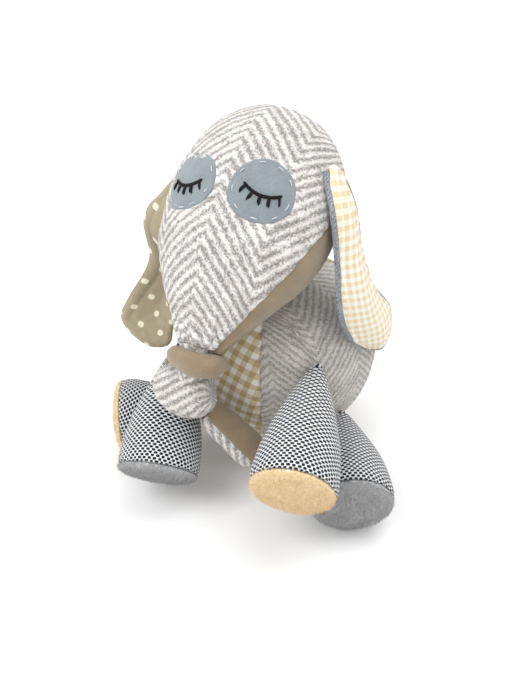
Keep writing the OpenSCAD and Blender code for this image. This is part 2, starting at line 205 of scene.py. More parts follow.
def fibres(name, source, count, length, width, lean, seed, curl=0.35, keep=None):
    """Short soft fibres standing on the faces of source, each a bent ribbon of two quads."""
    draw = random.Random(seed)
    mesh = source.data
    mesh.calc_loop_triangles()
    triangles = [t for t in mesh.loop_triangles if keep is None or keep(t.center / MM)]
    total, sums = 0.0, []
    for t in triangles:
        total += t.area
        sums.append(total)
    places = mesh.attributes.get("cloth")
    verts, faces, cloth = [], [], []
    order = sorted(draw.random() * total for _ in range(count))
    at = 0
    for x in order:
        while sums[at] < x:
            at += 1
        t = triangles[at]
        a, b = draw.random(), draw.random()
        if a + b > 1:
            a, b = 1 - a, 1 - b
        corners = [mesh.vertices[k].co for k in t.vertices]
        root = (corners[0] + a * (corners[1] - corners[0]) + b * (corners[2] - corners[0])) / MM
        place = (0.0, 0.0)
        if places:
            spots = [Vector(places.data[k].vector) for k in t.vertices]
            place = spots[0] + a * (spots[1] - spots[0]) + b * (spots[2] - spots[0])
        normal = t.normal
        wild = Vector((draw.gauss(0, 1), draw.gauss(0, 1), draw.gauss(0, 1)))
        along = (normal + Vector(lean) + curl * wild).normalized()
        bend = (along + 0.8 * Vector(lean) + curl * Vector(
            (draw.gauss(0, 1), draw.gauss(0, 1), draw.gauss(0, 1)))).normalized()
        side = along.cross(wild).normalized() * width / 2
        size = length * draw.uniform(0.55, 1.1)
        points = [root - 0.15 * normal, root + 0.5 * size * along,
                  root + 0.5 * size * along + 0.5 * size * bend]
        k = len(verts)
        for p, w in zip(points, (1, 0.8, 0.25)):
            verts += [p - w * side, p + w * side]
            cloth += [(place[0], place[1])] * 2
        faces += [(k, k + 1, k + 3, k + 2), (k + 2, k + 3, k + 5, k + 4)]
    return new_object(name, verts, faces, cloth)


# ---- Shader helpers ----


class Nodes:
    """Short way to write a node tree: each call adds a node and gives back its output."""

    def __init__(self, tree):
        self.tree = tree

    def add(self, kind, output=0, inputs=(), **settings):
        """Output of a new node, with its inputs linked or set."""
        node = self.tree.nodes.new(kind)
        for key, value in settings.items():
            setattr(node, key, value)
        for key, value in dict(inputs).items():
            if isinstance(value, bpy.types.NodeSocket):
                self.tree.links.new(value, node.inputs[key])
            else:
                node.inputs[key].default_value = value
        return node.outputs[output]

    def math(self, operation, a, b=0.0, c=0.0):
        """Result of a sum on sockets or numbers."""
        return self.add("ShaderNodeMath", inputs={0: a, 1: b, 2: c}, operation=operation)

    def mix(self, share, a, b):
        """Colour between a and b."""
        return self.add("ShaderNodeMix", 2, {0: share, 6: a, 7: b}, data_type="RGBA")

    def ramp(self, value, low, high, to_low=0.0, to_high=1.0):
        """Smooth step of value between low and high."""
        return self.add("ShaderNodeMapRange", 0,
                        {0: value, 1: low, 2: high, 3: to_low, 4: to_high},
                        interpolation_type="SMOOTHSTEP")

    def noise(self, vector, scale, detail=3.0):
        """Soft noise in the cloth's own millimetres."""
        return self.add("ShaderNodeTexNoise", 0, {"Vector": vector, "Scale": scale,
                                                  "Detail": detail, "Roughness": 0.6})

    def cloth(self):
        """Place on the flat cloth, in millimetres."""
        return self.add("ShaderNodeAttribute", "Vector", attribute_name="cloth")

    def split(self, vector):
        """Both flat parts of a place."""
        node = self.tree.nodes.new("ShaderNodeSeparateXYZ")
        self.tree.links.new(vector, node.inputs[0])
        return node.outputs[0], node.outputs[1]

    def join(self, x, y):
        """Place from its two flat parts."""
        return self.add("ShaderNodeCombineXYZ", inputs={0: x, 1: y})


def colour(hex_code):
    """Linear colour from a six-digit sRGB code."""
    parts = [int(hex_code[i:i + 2], 16) / 255 for i in (1, 3, 5)]
    return (*[p / 12.92 if p <= 0.04045 else ((p + 0.055) / 1.055) ** 2.4 for p in parts], 1)


def new_group(name, inputs, outputs):
    """Empty node group with float inputs {name: value} and named outputs {name: kind}."""
    tree = bpy.data.node_groups.new(name, "ShaderNodeTree")
    for key, value in inputs.items():
        kind = "NodeSocketColor" if isinstance(value, tuple) and len(value) == 4 else (
            "NodeSocketVector" if isinstance(value, tuple) else "NodeSocketFloat")
        tree.interface.new_socket(key, in_out="INPUT", socket_type=kind).default_value = value
    for key, kind in outputs.items():
        tree.interface.new_socket(key, in_out="OUTPUT", socket_type=kind)
    source = tree.nodes.new("NodeGroupInput")
    sink = tree.nodes.new("NodeGroupOutput")
    return tree, Nodes(tree), source.outputs, sink.inputs


def fuzz_group():
    """Wool fuzz: pale loose fibres over the colour, and a soft uneven height."""
    tree, n, given, out = new_group(
        "wool_fuzz", {"Colour": (0.5, 0.5, 0.5, 1), "Pale": (1, 1, 1, 1), "Amount": 0.3,
                      "Grain": 1.0, "Place": (0.0, 0.0, 0.0)},
        {"Colour": "NodeSocketColor", "Height": "NodeSocketFloat"})
    scale = n.math("MULTIPLY", given["Grain"], 1.0)
    fine = n.add("ShaderNodeTexNoise", 0, {"Vector": given["Place"], "Scale": scale,
                                           "Detail": 5.0, "Roughness": 0.7, "Distortion": 1.2})
    broad = n.noise(given["Place"], 0.09, 3.0)
    strands = n.ramp(fine, 0.5, 0.68)
    share = n.math("MULTIPLY", strands, given["Amount"])
    pale = n.mix(share, given["Colour"], given["Pale"])
    shade = n.add("ShaderNodeHueSaturation", 0,
                  {"Color": pale, "Value": n.ramp(broad, 0.3, 0.7, 0.9, 1.07)})
    deep = n.add("ShaderNodeHueSaturation", 0,
                 {"Color": shade, "Value": n.ramp(fine, 0.28, 0.5, 0.86, 1.0)})
    tree.links.new(deep, out["Colour"])
    tree.links.new(fine, out["Height"])
    return tree


def weave_group():
    """Plain weave: over and under threads as a height, and painted shade in the dips between them
    with a painted highlight on their tops.
    """
    tree, n, given, out = new_group(
        "plain_weave", {"Place": (0.0, 0.0, 0.0), "Threads": 2.5},
        {"Height": "NodeSocketFloat", "Shade": "NodeSocketFloat"})
    x, y = n.split(given["Place"])
    a = n.math("SINE", n.math("MULTIPLY", n.math("MULTIPLY", x, given["Threads"]), math.pi))
    b = n.math("SINE", n.math("MULTIPLY", n.math("MULTIPLY", y, given["Threads"]), math.pi))
    height = n.math("MULTIPLY", a, b)
    tree.links.new(height, out["Height"])
    # Painted shade where the threads dip and painted highlight where they stand up, both taken from
    # the height
    tree.links.new(n.ramp(height, -1, 1, 0.86, 1.05), out["Shade"])
    return tree


FUZZ = fuzz_group()
WEAVE = weave_group()


def placed(n, group, **inputs):
    """Outputs of a shared group, with its inputs linked or set."""
    node = n.tree.nodes.new("ShaderNodeGroup")
    node.node_tree = group
    for key, value in inputs.items():
        if isinstance(value, bpy.types.NodeSocket):
            n.tree.links.new(value, node.inputs[key])
        else:
            node.inputs[key].default_value = value
    return node.outputs


def cloth_material(name, roughness=0.92, sheen=0.25):
    """Nodes of a new material, and a function that joins colour and height to its shader."""
    material = bpy.data.materials.new(name)
    material.use_nodes = True
    n = Nodes(material.node_tree)
    shader = material.node_tree.nodes["Principled BSDF"]
    shader.inputs["Roughness"].default_value = roughness
    shader.inputs["Sheen Weight"].default_value = sheen
    shader.inputs["Sheen Roughness"].default_value = 0.6
    shader.inputs["Specular IOR Level"].default_value = 0.25

    def finish(tint, height=None, depth=0.3):
        """The material, once its colour and, if given, its height are joined on."""
        n.tree.links.new(tint, shader.inputs["Base Color"])
        if height is not None:
            bump_node = n.add("ShaderNodeBump", 0, {"Strength": 0.8, "Distance": depth * MM,
                                                     "Height": height})
            n.tree.links.new(bump_node, shader.inputs["Normal"])
        return material

    return n, finish


def scaled(n, vector, factor):
    """Vector times a number."""
    return n.add("ShaderNodeVectorMath", 0, {0: vector, 3: factor}, operation="SCALE")


def herringbone(name, light, dark, column=28.0, pitch=6.2, slope=1.0, fuzz=0.35,
                strength=1.0, grain=1.0):
    """Brushed chevron twill: broken slanting lines of dark yarn under loose pale fibres."""
    n, finish = cloth_material(name)
    place = n.cloth()
    wobble = n.add("ShaderNodeTexNoise", 1, {"Vector": place, "Scale": 0.5, "Detail": 4.0})
    shift = scaled(n, n.add("ShaderNodeVectorMath", 0, {0: wobble, 1: (0.5, 0.5, 0.5)},
                            operation="SUBTRACT"), 3.4)
    x, y = n.split(n.add("ShaderNodeVectorMath", 0, {0: place, 1: shift}, operation="ADD"))
    zigzag = n.math("PINGPONG", x, column)
    slant = n.math("ADD", y, n.math("MULTIPLY", zigzag, slope))
    phase = n.math("FRACT", n.math("DIVIDE", slant, pitch))
    line = n.math("MULTIPLY", n.math("ABSOLUTE", n.math("SUBTRACT", phase, 0.5)), 2.0)
    # The dark yarn shows as short dashes that lie along each line
    along = n.math("SUBTRACT", zigzag, n.math("MULTIPLY", y, slope))
    dashes = n.noise(n.join(n.math("MULTIPLY", along, 0.55), n.math("MULTIPLY", slant, 1.5)),
                     0.8 * grain, 3.0)
    worn = n.noise(place, 0.11, 3.0)
    yarn = n.add("ShaderNodeTexNoise", 0, {"Vector": place, "Scale": 0.95 * grain, "Detail": 5.0,
                                           "Roughness": 0.8, "Distortion": 0.8})
    mixed = n.math("ADD", line, n.math("MULTIPLY", n.math("SUBTRACT", dashes, 0.5), 1.9))
    mixed = n.math("ADD", mixed, n.math("MULTIPLY", n.math("SUBTRACT", yarn, 0.5), 4.2))
    mixed = n.math("ADD", mixed, n.math("MULTIPLY", n.math("SUBTRACT", worn, 0.5), 1.1))
    mask = n.ramp(mixed, -0.2, 1.0, 1.0 - strength, 1.0)
    tint = n.mix(mask, colour(dark), colour(light))
    fuzzy = placed(n, FUZZ, Colour=tint, Pale=colour(light), Amount=fuzz, Grain=2.3 * grain,
                   Place=place)
    height = n.math("ADD", n.math("MULTIPLY", mask, 0.55), fuzzy["Height"])
    return finish(fuzzy["Colour"], height, 0.6)


def felt(name, base, pale, grain=1.6):
    """Pressed wool: an even colour under short fibres, with paler and darker specks."""
    n, finish = cloth_material(name, 0.95, 0.3)
    place = n.cloth()
    fuzzy = placed(n, FUZZ, Colour=colour(base), Pale=colour(pale), Amount=0.55, Grain=grain,
                   Place=place)
    speck = n.noise(place, 3.4, 2.0)
    tint = n.add("ShaderNodeHueSaturation", 0,
                 {"Color": fuzzy["Colour"], "Value": n.ramp(speck, 0.35, 0.65, 0.8, 1.12)})
    return finish(tint, fuzzy["Height"], 0.35)


def gingham(name, white, mid, deep, square, threads=3.0, turn=0.0):
    """Even check of white, crossed and full-colour squares over a plain weave."""
    n, finish = cloth_material(name, 0.85, 0.12)
    place = n.add("ShaderNodeVectorRotate", 0, {"Vector": n.cloth(), "Angle": turn},
                  rotation_type="Z_AXIS")
    x, y = n.split(place)
    bands = [n.ramp(n.math("PINGPONG", v, square), square * 0.5 - 0.22, square * 0.5 + 0.22)
             for v in (x, y)]
    both = n.math("MULTIPLY", n.math("ADD", *bands), 0.5)
    tint = n.mix(n.ramp(both, 0.0, 0.5), colour(white), colour(mid))
    tint = n.mix(n.ramp(both, 0.5, 1.0), tint, colour(deep))
    weave = placed(n, WEAVE, Place=place, Threads=threads)
    speck = n.noise(place, 2.2, 3.0)
    # Painted thread shade and highlight from the weave, times random specks
    value = n.math("MULTIPLY", weave["Shade"], n.ramp(speck, 0.3, 0.7, 0.92, 1.06))
    tint = n.add("ShaderNodeHueSaturation", 0, {"Color": tint, "Value": value})
    return finish(tint, weave["Height"], 0.12)


def dotted(name, ground, dot, pitch, row, size, threads=3.2, worn=0.1):
    """Rows of dots, each row shifted by half a pitch, on a plain weave."""
    n, finish = cloth_material(name, 0.82, 0.12)
    place = n.cloth()
    x, y = n.split(place)
    line = n.math("DIVIDE", y, row)
    number = n.math("FLOOR", line)
    shift = n.math("MULTIPLY", n.math("MODULO", n.math("ABSOLUTE", number), 2.0), 0.5)
    u = n.math("ADD", n.math("DIVIDE", x, pitch), shift)
    du = n.math("MULTIPLY", n.math("SUBTRACT", n.math("FRACT", u), 0.5), pitch / size[0])
    dv = n.math("MULTIPLY", n.math("SUBTRACT", n.math("FRACT", line), 0.5), row / size[1])
    far = n.math("POWER", n.math("ADD", n.math("POWER", n.math("ABSOLUTE", du), 2.6),
                                 n.math("POWER", n.math("ABSOLUTE", dv), 2.6)), 0.385)
    mask = n.ramp(far, 0.43, 0.56)
    tint = n.mix(mask, colour(dot), colour(ground))
    weave = placed(n, WEAVE, Place=place, Threads=threads)
    speck = n.noise(place, 0.25, 3.0)
    # Painted thread shade and highlight from the weave, times random worn specks
    value = n.math("MULTIPLY", weave["Shade"], n.ramp(speck, 0.3, 0.7, 1 - worn, 1.02))
    tint = n.add("ShaderNodeHueSaturation", 0, {"Color": tint, "Value": value})
    return finish(tint, weave["Height"], 0.1)


def plush(name, base, pale, deep):
    """Short pile: directional streaks where the pile lies, with tufts."""
    n, finish = cloth_material(name, 0.9, 0.45)
    place = n.cloth()
    x, y = n.split(place)
    streak = n.noise(n.join(n.math("MULTIPLY", x, 2.4), n.math("MULTIPLY", y, 0.7)), 0.8, 4.0)
    tuft = n.noise(place, 1.7, 4.0)
    tint = n.mix(n.ramp(streak, 0.35, 0.65), colour(deep), colour(base))
    tint = n.mix(n.ramp(tuft, 0.5, 0.72), tint, colour(pale))
    return finish(tint, n.math("ADD", streak, tuft), 0.6)


def thread_material(name, base, shade, sheen=0.3):
    """Twisted thread: fine slanting ridges along it."""
    n, finish = cloth_material(name, 0.6, sheen)
    x, y = n.split(n.cloth())
    twist = n.math("SINE", n.math("MULTIPLY", n.math("ADD", n.math("MULTIPLY", y, 1.4), x), 6.5))
    tint = n.mix(n.ramp(twist, -1, 1), colour(shade), colour(base))
    return finish(tint, twist, 0.12)


def leather(name, base, deep):
    """Smooth tanned leather with fine pores and darker patches."""
    n, finish = cloth_material(name, 0.5, 0.0)
    place = n.cloth()
    pores = n.add("ShaderNodeTexVoronoi", 0, {"Vector": place, "Scale": 1.6})
    patches = n.noise(place, 0.4, 4.0)
    tint = n.mix(n.ramp(patches, 0.35, 0.65), colour(deep), colour(base))
    return finish(tint, pores, 0.15)


FACE_TWEED = herringbone("face_herringbone", "#ece8e4", "#7e7671", fuzz=0.45, strength=0.95)
SIDE_TWEED = herringbone("side_tweed", "#dcd8d0", "#868178", column=26, pitch=4.6, fuzz=0.4,
                         strength=0.85, grain=1.2)
TAN_FELT = felt("tan_felt", "#8c7a60", "#a29278")
EYE_FELT = felt("eye_felt", "#7f898d", "#98a2a6", 1.3)
TUMMY_GINGHAM = gingham("tummy_gingham", "#f2ece2", "#d6c6a8", "#bda67c", 3.2, turn=0.32)
EAR_CHECK = gingham("ear_check", "#fcfaf4", "#f6ebd3", "#ebd5a9", 2.6, turn=0.2)
BLUE_TWEED = herringbone("blue_tweed", "#b7bcc2", "#4a5462", column=300, pitch=2.2, fuzz=0.45,
                         grain=1.4)
BACK_COTTON = dotted("back_cotton", "#aca085", "#f3edd2", 15, 10.5, (4.0, 4.0))
SPOTTED = dotted("spotted_cotton", "#e2e5e8", "#0e1014", 2.75, 1.45, (1.85, 1.4))
CAMEL_PLUSH = plush("camel_plush", "#ecd4a8", "#faecca", "#d3b484")
GREY_PLUSH = plush("grey_plush", "#a9a9aa", "#c6c6c6", "#87878a")
WHITE_THREAD = thread_material("light_thread", "#dfe3e5", "#b4babd")
DARK_FLOSS = thread_material("dark_floss", "#121316", "#050506", 0.0)
TAG_LEATHER = leather("tag_leather", "#b9743c", "#9a5a2a")
FILL = felt("polyester_fill", "#efede8", "#ffffff")
SACK = gingham("pellet_sack", "#ded8c8", "#d8d1be", "#d0c8b4", 1.2)


def dress(obj, material, body, slot, *nodes):
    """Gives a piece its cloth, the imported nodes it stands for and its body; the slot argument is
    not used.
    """
    obj.data.materials.clear()
    obj.data.materials.append(material)
    if nodes:
        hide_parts(*nodes)
    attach(obj, body)
    return obj


# ---- Torso ----

TORSO_OUTLINE = [(0.20, 0), (0.36, 0.025), (0.55, 0.095), (0.78, 0.225), (0.945, 0.38),
                 (1, 0.55), (0.95, 0.73), (0.78, 0.89), (0.50, 0.975), (0.2, 1)]


def torso_point(t, turn, proud=0.0):
    """Point on the torso at curve position t, turned round from the tummy in degrees."""
    r = spline(TORSO_OUTLINE, t)
    step = spline(TORSO_OUTLINE, t + 0.02) - spline(TORSO_OUTLINE, t - 0.02)
    lean = Vector((step[1] * TORSO_HEIGHT, -step[0] * TORSO_WIDTH / 2)).normalized()
    a = math.radians(turn)
    return Vector(((r[0] * TORSO_WIDTH / 2 + proud * lean[0]) * math.sin(a),
                   -(r[0] * TORSO_DEPTH / 2 + proud * lean[0]) * math.cos(a),
                   r[1] * TORSO_HEIGHT + proud * lean[1]))


def gore(half_width, t):
    """Turn, from the middle of a gore, at which its seam lies."""
    widest = math.degrees(math.asin(2 * half_width / TORSO_WIDTH))
    return widest * (0.8 + 0.2 * math.sin(math.pi * t))


def tummy_seam(t):
    """Turn of the seam between the tummy cloth and the left side."""
    return gore(TUMMY_HALF_WIDTH, t)


def back_seam(t):
    """Turn of the seam between the left side and the back cloth."""
    return 180 - gore(BACK_HALF_WIDTH, t)


LIMBS = {
    "arm_left": dict(turn=16.5, droop=22.0, pad="camel"),
    "arm_right": dict(turn=18.5, droop=39.0, pad="grey"),
    "leg_left": dict(turn=31.0, droop=13.3, pad="grey"),
    "leg_right": dict(turn=-61.0, droop=5.0, pad="camel"),
}
ANCHORS = {name: JOINTS[name + "_lift"] for name in LIMBS}


def dimples(p):
    """Where a limb is sewn on, the cloth pulls in and folds run away from the point."""
    depth = 0.0
    for anchor in ANCHORS.values():
        d = p - anchor
        far = d.length
        depth += 2.2 * bump(far, 6) + 1.2 * bump(far, 16) * max(0, lump(
            (math.atan2(d.z, d.x) * 9, far * 0.3, 0), 6, 3))
    return depth


def crease(p, top, bottom, width, deep):
    """Soft fold along the line from top to bottom."""
    line = bottom - top
    t = min(max((p - top).dot(line) / line.length_squared, 0), 1)
    near = (p - top - t * line).length
    return deep * bump(near, width) * math.sin(math.pi * min(1, 0.25 + 0.75 * t))


FOLDS = [(torso_point(0.79, 38), torso_point(0.665, 49), 2.6, 4.6),
         (torso_point(0.74, 60), torso_point(0.665, 52), 2.8, 2.0),
         (torso_point(0.56, 40), torso_point(0.64, 47), 3.4, 1.6),
         (torso_point(0.78, -40), torso_point(0.665, -38), 2.6, 3.4)]


def torso_surface(t, turn, seams, pucker):
    """Torso point with puckers along its seams, lumps of the filling and sewn-in folds."""
    base = torso_point(t, turn)
    proud = 0.5 * lump(base, 22, 1) + 0.3 * lump(base, 9, 4)
    for seam, phase in seams:
        away = abs(turn - seam) * math.radians(1) * TORSO_WIDTH / 2
        proud -= 1.1 * bump(away, 1.6)
        wave = math.sin(base.z * 1.05 + 2.2 * lump(base, 11, 2) + phase)
        proud += pucker * wave * bump(away, 7)
    proud -= dimples(base)
    for top, bottom, width, deep in FOLDS:
        proud -= crease(base, top, bottom, width, deep)
    spot = torso_point(t, turn, max(proud, -5.5) - 0.4)
    spot.z = max(spot.z, 0.02)
    return spot


def torso_gore(name, start, stop, columns, material, slot, pucker, *nodes):
    """One cloth of the torso between two seams, from the floor to the neck."""
    rows = []
    count = 96
    for i in range(count + 1):
        t = i / count
        a, b = start(t), stop(t)
        rows.append([torso_surface(t, lerp(a, b, j / columns), ((a, 0.0), (b, 1.7)), pucker)
                     for j in range(columns + 1)])
    # The cloth closes in under the neck stitches
    for share, drop in ((0.9, 0.1), (0.3, 0.7)):
        rows.append([Vector((share * p.x, share * p.y, p.z - drop)) for p in rows[count]])
    rows.reverse()
    obj = cloth_panel(name, rows)
    dress(obj, material, "torso", slot, *nodes)
    return obj


def build_torso():
    """Tummy, two sides and back, with the stitches along their four seams."""
    torso_gore("tummy_cloth", lambda t: -tummy_seam(t), tummy_seam, 44, TUMMY_GINGHAM,
               "tummy_gingham", 0.75, "tummy_panel")
    torso_gore("side_cloth_left", tummy_seam, back_seam, 96, SIDE_TWEED, "side_tweed", 0.3,
               "side_panel_left")
    torso_gore("side_cloth_right", lambda t: -back_seam(t), lambda t: -tummy_seam(t), 96,
               SIDE_TWEED, "side_tweed", 0.3, "side_panel_right")
    torso_gore("back_cloth", back_seam, lambda t: 360 - back_seam(t), 76, BACK_COTTON,
               "back_cotton", 0.35, "back_panel")
    seams = []
    for seam in (tummy_seam, lambda t: -tummy_seam(t), back_seam, lambda t: -back_seam(t)):
        for k in range(4, 88, 2):
            seams.append([torso_point(t / 90, seam(t / 90), -1.15 + 0.25 * (t == k + 0.5))
                          for t in (k, k + 0.5, k + 1)])
    obj = tube("seam_stitches", seams, 0.28, 6)
    dress(obj, WHITE_THREAD, "torso", "light_thread")


def build_seat_disc():
    """Round patch that closes the torso underneath."""
    radius = box_mm("seat_disc")[1].x
    rings, spokes = 8, 40
    verts = [(radius * i / rings * math.cos(2 * math.pi * j / spokes),
              radius * i / rings * math.sin(2 * math.pi * j / spokes),
              0.35 * (1 + lump((i * 2, j, 0), 3)) * (i == rings))
             for i in range(1, rings + 1) for j in range(spokes)]
    faces = grid_faces(rings, spokes, wrap=True)
    faces.append(tuple(range(spokes)))
    obj = new_object("seat_patch", verts, faces, [(v[0], v[1]) for v in verts])
    solid = obj.modifiers.new("thickness", "SOLIDIFY")
    solid.thickness = CLOTH * MM
    solid.offset = -1
    dress(obj, SIDE_TWEED, "torso", "side_tweed", "seat_disc")


def build_leather_tag():
    """Small folded leather label."""
    low, high = box_mm("leather_tag")
    centre = (low + high) / 2
    turn = Euler((math.radians(28), 0, math.radians(27))).to_matrix()
    width, depth, tall = 8.0, 1.6, 11.0
    # Folded strip: up the front, over, and down the back
    profile = [(-depth / 2, tall / 2)]
    profile += [(-depth / 2, tall / 2 - tall * 0.9 * k / 10) for k in range(1, 11)]
    profile += [(depth / 2 * -math.cos(math.pi * k / 8),
                 -tall * 0.4 - depth / 2 * math.sin(math.pi * k / 8)) for k in range(1, 8)]
    profile += [(depth / 2, -tall * 0.4 + tall * 0.9 * k / 10) for k in range(0, 11)]
    rows = []
    for y, z in profile:
        rows.append([centre + turn @ Vector((width * (u / 8 - 0.5), y + 0.12 * lump((u, z, 0), 4), z))
                     for u in range(9)])
    obj = cloth_panel("leather_label", rows, thickness=0.55)
    bevel = obj.modifiers.new("edge", "BEVEL")
    bevel.width = 0.12 * MM
    bevel.segments = 2
    dress(obj, TAG_LEATHER, "torso", "tag_leather", "leather_tag")


# ---- Head ----

HEAD_OUTLINE = [(-0.555, 0.10, 0.10, 0), (-0.535, 0.34, 0.34, 0), (-0.45, 0.62, 0.62, 0),
                (-0.27, 0.87, 0.87, 0), (0, 1, 1, 0), (0.26, 0.975, 0.97, 0.5),
                (0.48, 0.86, 0.84, 2.5), (0.68, 0.66, 0.62, 3.5), (0.86, 0.43, 0.40, 2.2),
                (1, 0.25, 0.25, 0)]
FACE_SEAM = [152, 140, 128, 112, 90, 76, 73, 72, 71, 70]


def head_point(t, turn, proud=0.0):
    """Point on the head at curve position t, turned round from the middle of the face."""
    r = spline(HEAD_OUTLINE, t)
    step = spline(HEAD_OUTLINE, t + 0.02) - spline(HEAD_OUTLINE, t - 0.02)
    lean = Vector((step[0] * MUZZLE_LENGTH, -step[1] * HEAD_WIDTH / 2)).normalized()
    a = math.radians(turn)
    return (HEAD_CENTRE + (r[0] * MUZZLE_LENGTH + proud * lean[1]) * HEAD_AXIS
            + (r[1] * HEAD_WIDTH / 2 + proud * lean[0]) * math.sin(a) * Vector((1, 0, 0))
            + (r[2] * HEAD_THICKNESS / 2 + proud * lean[0]) * math.cos(a) * FACE_DIR
            + r[3] * FACE_DIR)


def face_seam(t):
    """Turn of the seam between the face and the under cloth."""
    return spline(FACE_SEAM, t)


def head_surface(t, turn, edges):
    """Head point with puckers at its seams and gathers at both ends."""
    base = head_point(t, turn)
    proud = 0.6 * lump(base, 26, 5) + 0.3 * lump(base, 10, 7) + 0.2
    for edge in edges:
        away = abs(turn - edge) * math.radians(1) * HEAD_WIDTH / 2 * spline(HEAD_OUTLINE, t)[1]
        proud -= 0.8 * bump(away, 1.3)
        proud += 0.22 * math.sin(t * 150 + 3 * lump(base, 12, 1)) * bump(away, 4)
    # Gathers where the cloth is drawn in above the trunk and at the crown
    gather = bump((1 - t) * MUZZLE_LENGTH * 1.5, 17)
    proud += 0.8 * gather * math.sin(math.radians(turn) * 13 + 2 * lump(base, 9, 2))
    proud += 0.5 * bump(t * 60, 9) * math.sin(math.radians(turn) * 16)
    return head_point(t, turn, proud)


def head_gore(name, start, stop, columns, material, slot, node):
    """One cloth of the head between two seams, from the crown to the trunk."""
    count = 112
    rows = []
    for i in range(count + 1):
        t = i / count
        a, b = start(t), stop(t)
        rows.append([head_surface(t, lerp(a, b, j / columns), (a, b)) for j in range(columns + 1)])
    # Both ends close in: the gathered crown, and the pinch above the trunk
    middle = HEAD_CENTRE - 0.562 * MUZZLE_LENGTH * HEAD_AXIS
    rows = ([[lerp(middle, p, share) for p in rows[0]] for share in (0.04, 0.55)] + rows
            + [[lerp(PINCH, p, 0.55) + HEAD_AXIS for p in rows[-1]]])
    obj = cloth_panel(name, rows)
    dress(obj, material, "head", slot, node)
    return obj


def build_head():
    """Face and under cloth, the fuzz on the face and the seam stitches."""
    face = head_gore("face_cloth", lambda t: -face_seam(t), face_seam, 120, FACE_TWEED,
                     "face_herringbone", "face_panel")
    head_gore("under_cloth", face_seam, lambda t: 360 - face_seam(t), 96, TAN_FELT,
              "tan_felt", "under_panel")
    fuzz = fibres("face_fuzz", face, 9000, 1.5, 0.09, (0, -0.3, -0.4), 11, 0.5)
    dress(fuzz, FACE_TWEED, "head", "face_herringbone")
    stitches = []
    for side in (-1, 1):
        for k in range(4, 122, 2):
            stitches.append([head_point(t / 124, side * face_seam(t / 124),
                                        -0.55 + 0.25 * (t == k + 0.5))
                             for t in (k, k + 0.5, k + 1)])
    dress(tube("head_seam_stitches", stitches, 0.22, 6), WHITE_THREAD, "head", "light_thread")


# ---- Eyes ----

EYE_TURN = 26
EYE_RADIUS = 16
EYE_ROWS = {1: 0.497, -1: 0.513}
FELT = 1.3


def eye_point(side, dx, dy, lift):
    """Point over the face: dx round the head and dy towards the trunk from an eye's middle."""
    t = EYE_ROWS[side]
    r = spline(HEAD_OUTLINE, t)
    step = spline(HEAD_OUTLINE, t + 0.02) - spline(HEAD_OUTLINE, t - 0.02)
    row_length = math.hypot(step[0] * MUZZLE_LENGTH, step[1] * HEAD_WIDTH / 2) / 0.04
    turn = side * (EYE_TURN + math.degrees(dx / (r[1] * HEAD_WIDTH / 2)))
    return head_point(t + dy / row_length, turn, lift + 0.4)


def build_eye(side, name):
    """Felt disc with running stitches round it, and a closed lid with lashes in floss."""
    rings, spokes = 16, 72
    verts, cloth = [], []
    for layer in (1, 0):
        for i in range(rings + 1):
            k = i if layer else rings - i
            for j in range(spokes):
                a = 2 * math.pi * j / spokes
                edge = 1 + 0.012 * math.sin(3 * a + side) + 0.008 * math.sin(7 * a)
                r = EYE_RADIUS * k / rings * edge
                x, y = r * math.cos(a), r * math.sin(a)
                rim = bump(EYE_RADIUS * (1 - k / rings), 1.1)
                # The running stitch pulls the felt down a little
                pull = 0.35 * bump(r - (EYE_RADIUS - 2.6), 0.9)
                lift = 0.25 + layer * (FELT - 0.5 * rim - pull)
                verts.append(eye_point(side, x, y, lift))
                cloth.append((x, y))
    faces = grid_faces(2 * rings + 2, spokes, wrap=True)
    if side > 0:
        faces = [f[::-1] for f in faces]
    obj = new_object("eye_felt_" + name, verts, faces, cloth)
    join_close(obj)
    dress(obj, EYE_FELT, "head", "eye_felt", "eye_patch_" + name)
    # Running stitches, each dipping into the felt at both ends
    draw = random.Random(5 + side)
    stitches = []
    for k in range(9):
        middle = 2 * math.pi * (k + 0.3 * draw.random()) / 9
        half = 0.115 + 0.03 * draw.random()
        reach = EYE_RADIUS - 2.5 + 0.5 * draw.random()
        stitches.append([eye_point(side, reach * math.cos(middle + half * u),
                                   reach * math.sin(middle + half * u),
                                   FELT + 0.35 - 0.75 * abs(u) ** 3)
                         for u in (-1, -0.6, -0.2, 0.2, 0.6, 1)])
    dress(tube("eye_thread_" + name, stitches, 0.3), WHITE_THREAD, "head", "light_thread",
          "eye_stitches_" + name)
    # Closed lid in chain of short floss stitches, with five lashes
    half_width, sag = 9.0, 3.2
    strands = []

    def lid(x):
        """How far towards the trunk the closed lid's curve lies at x."""
        return sag * (1 - (x / half_width) ** 2) - 1

    for k in range(9):
        a, b = (half_width * (2 * (k + e) / 9 - 1) for e in (-0.12, 1.12))
        for offset in (-0.33, 0.33):
            strands.append([eye_point(side, lerp(a, b, u), lid(lerp(a, b, u)) + offset,
                                      FELT + 0.55 - 0.5 * (2 * u - 1) ** 4)
                            for u in (0, 0.25, 0.5, 0.75, 1)])
    for k in range(-2, 3):
        x = 0.92 * half_width * k / 2
        y = lid(x)
        for offset in (-0.3, 0.3):
            foot = (x + offset * 0.7, y + 0.4)
            tip = (x * 1.16 + offset + 0.5 * draw.uniform(-1, 1), y + 4.2 + draw.uniform(-0.7, 0.6))
            strands.append([eye_point(side, lerp(foot[0], tip[0], u), lerp(foot[1], tip[1], u),
                                      FELT + 0.7 - 0.6 * (2 * u - 1) ** 4)
                            for u in (0, 0.25, 0.5, 0.75, 1)])
    dress(tube("eye_floss_" + name, strands, 0.55), DARK_FLOSS, "head", "dark_floss",
          "eyelashes_" + name)


def join_close(obj):
    """Joins points of a mesh that lie on top of each other."""
    work = bmesh.new()
    work.from_mesh(obj.data)
    bmesh.ops.remove_doubles(work, verts=work.verts, dist=0.02 * MM)
    work.to_mesh(obj.data)
    work.free()


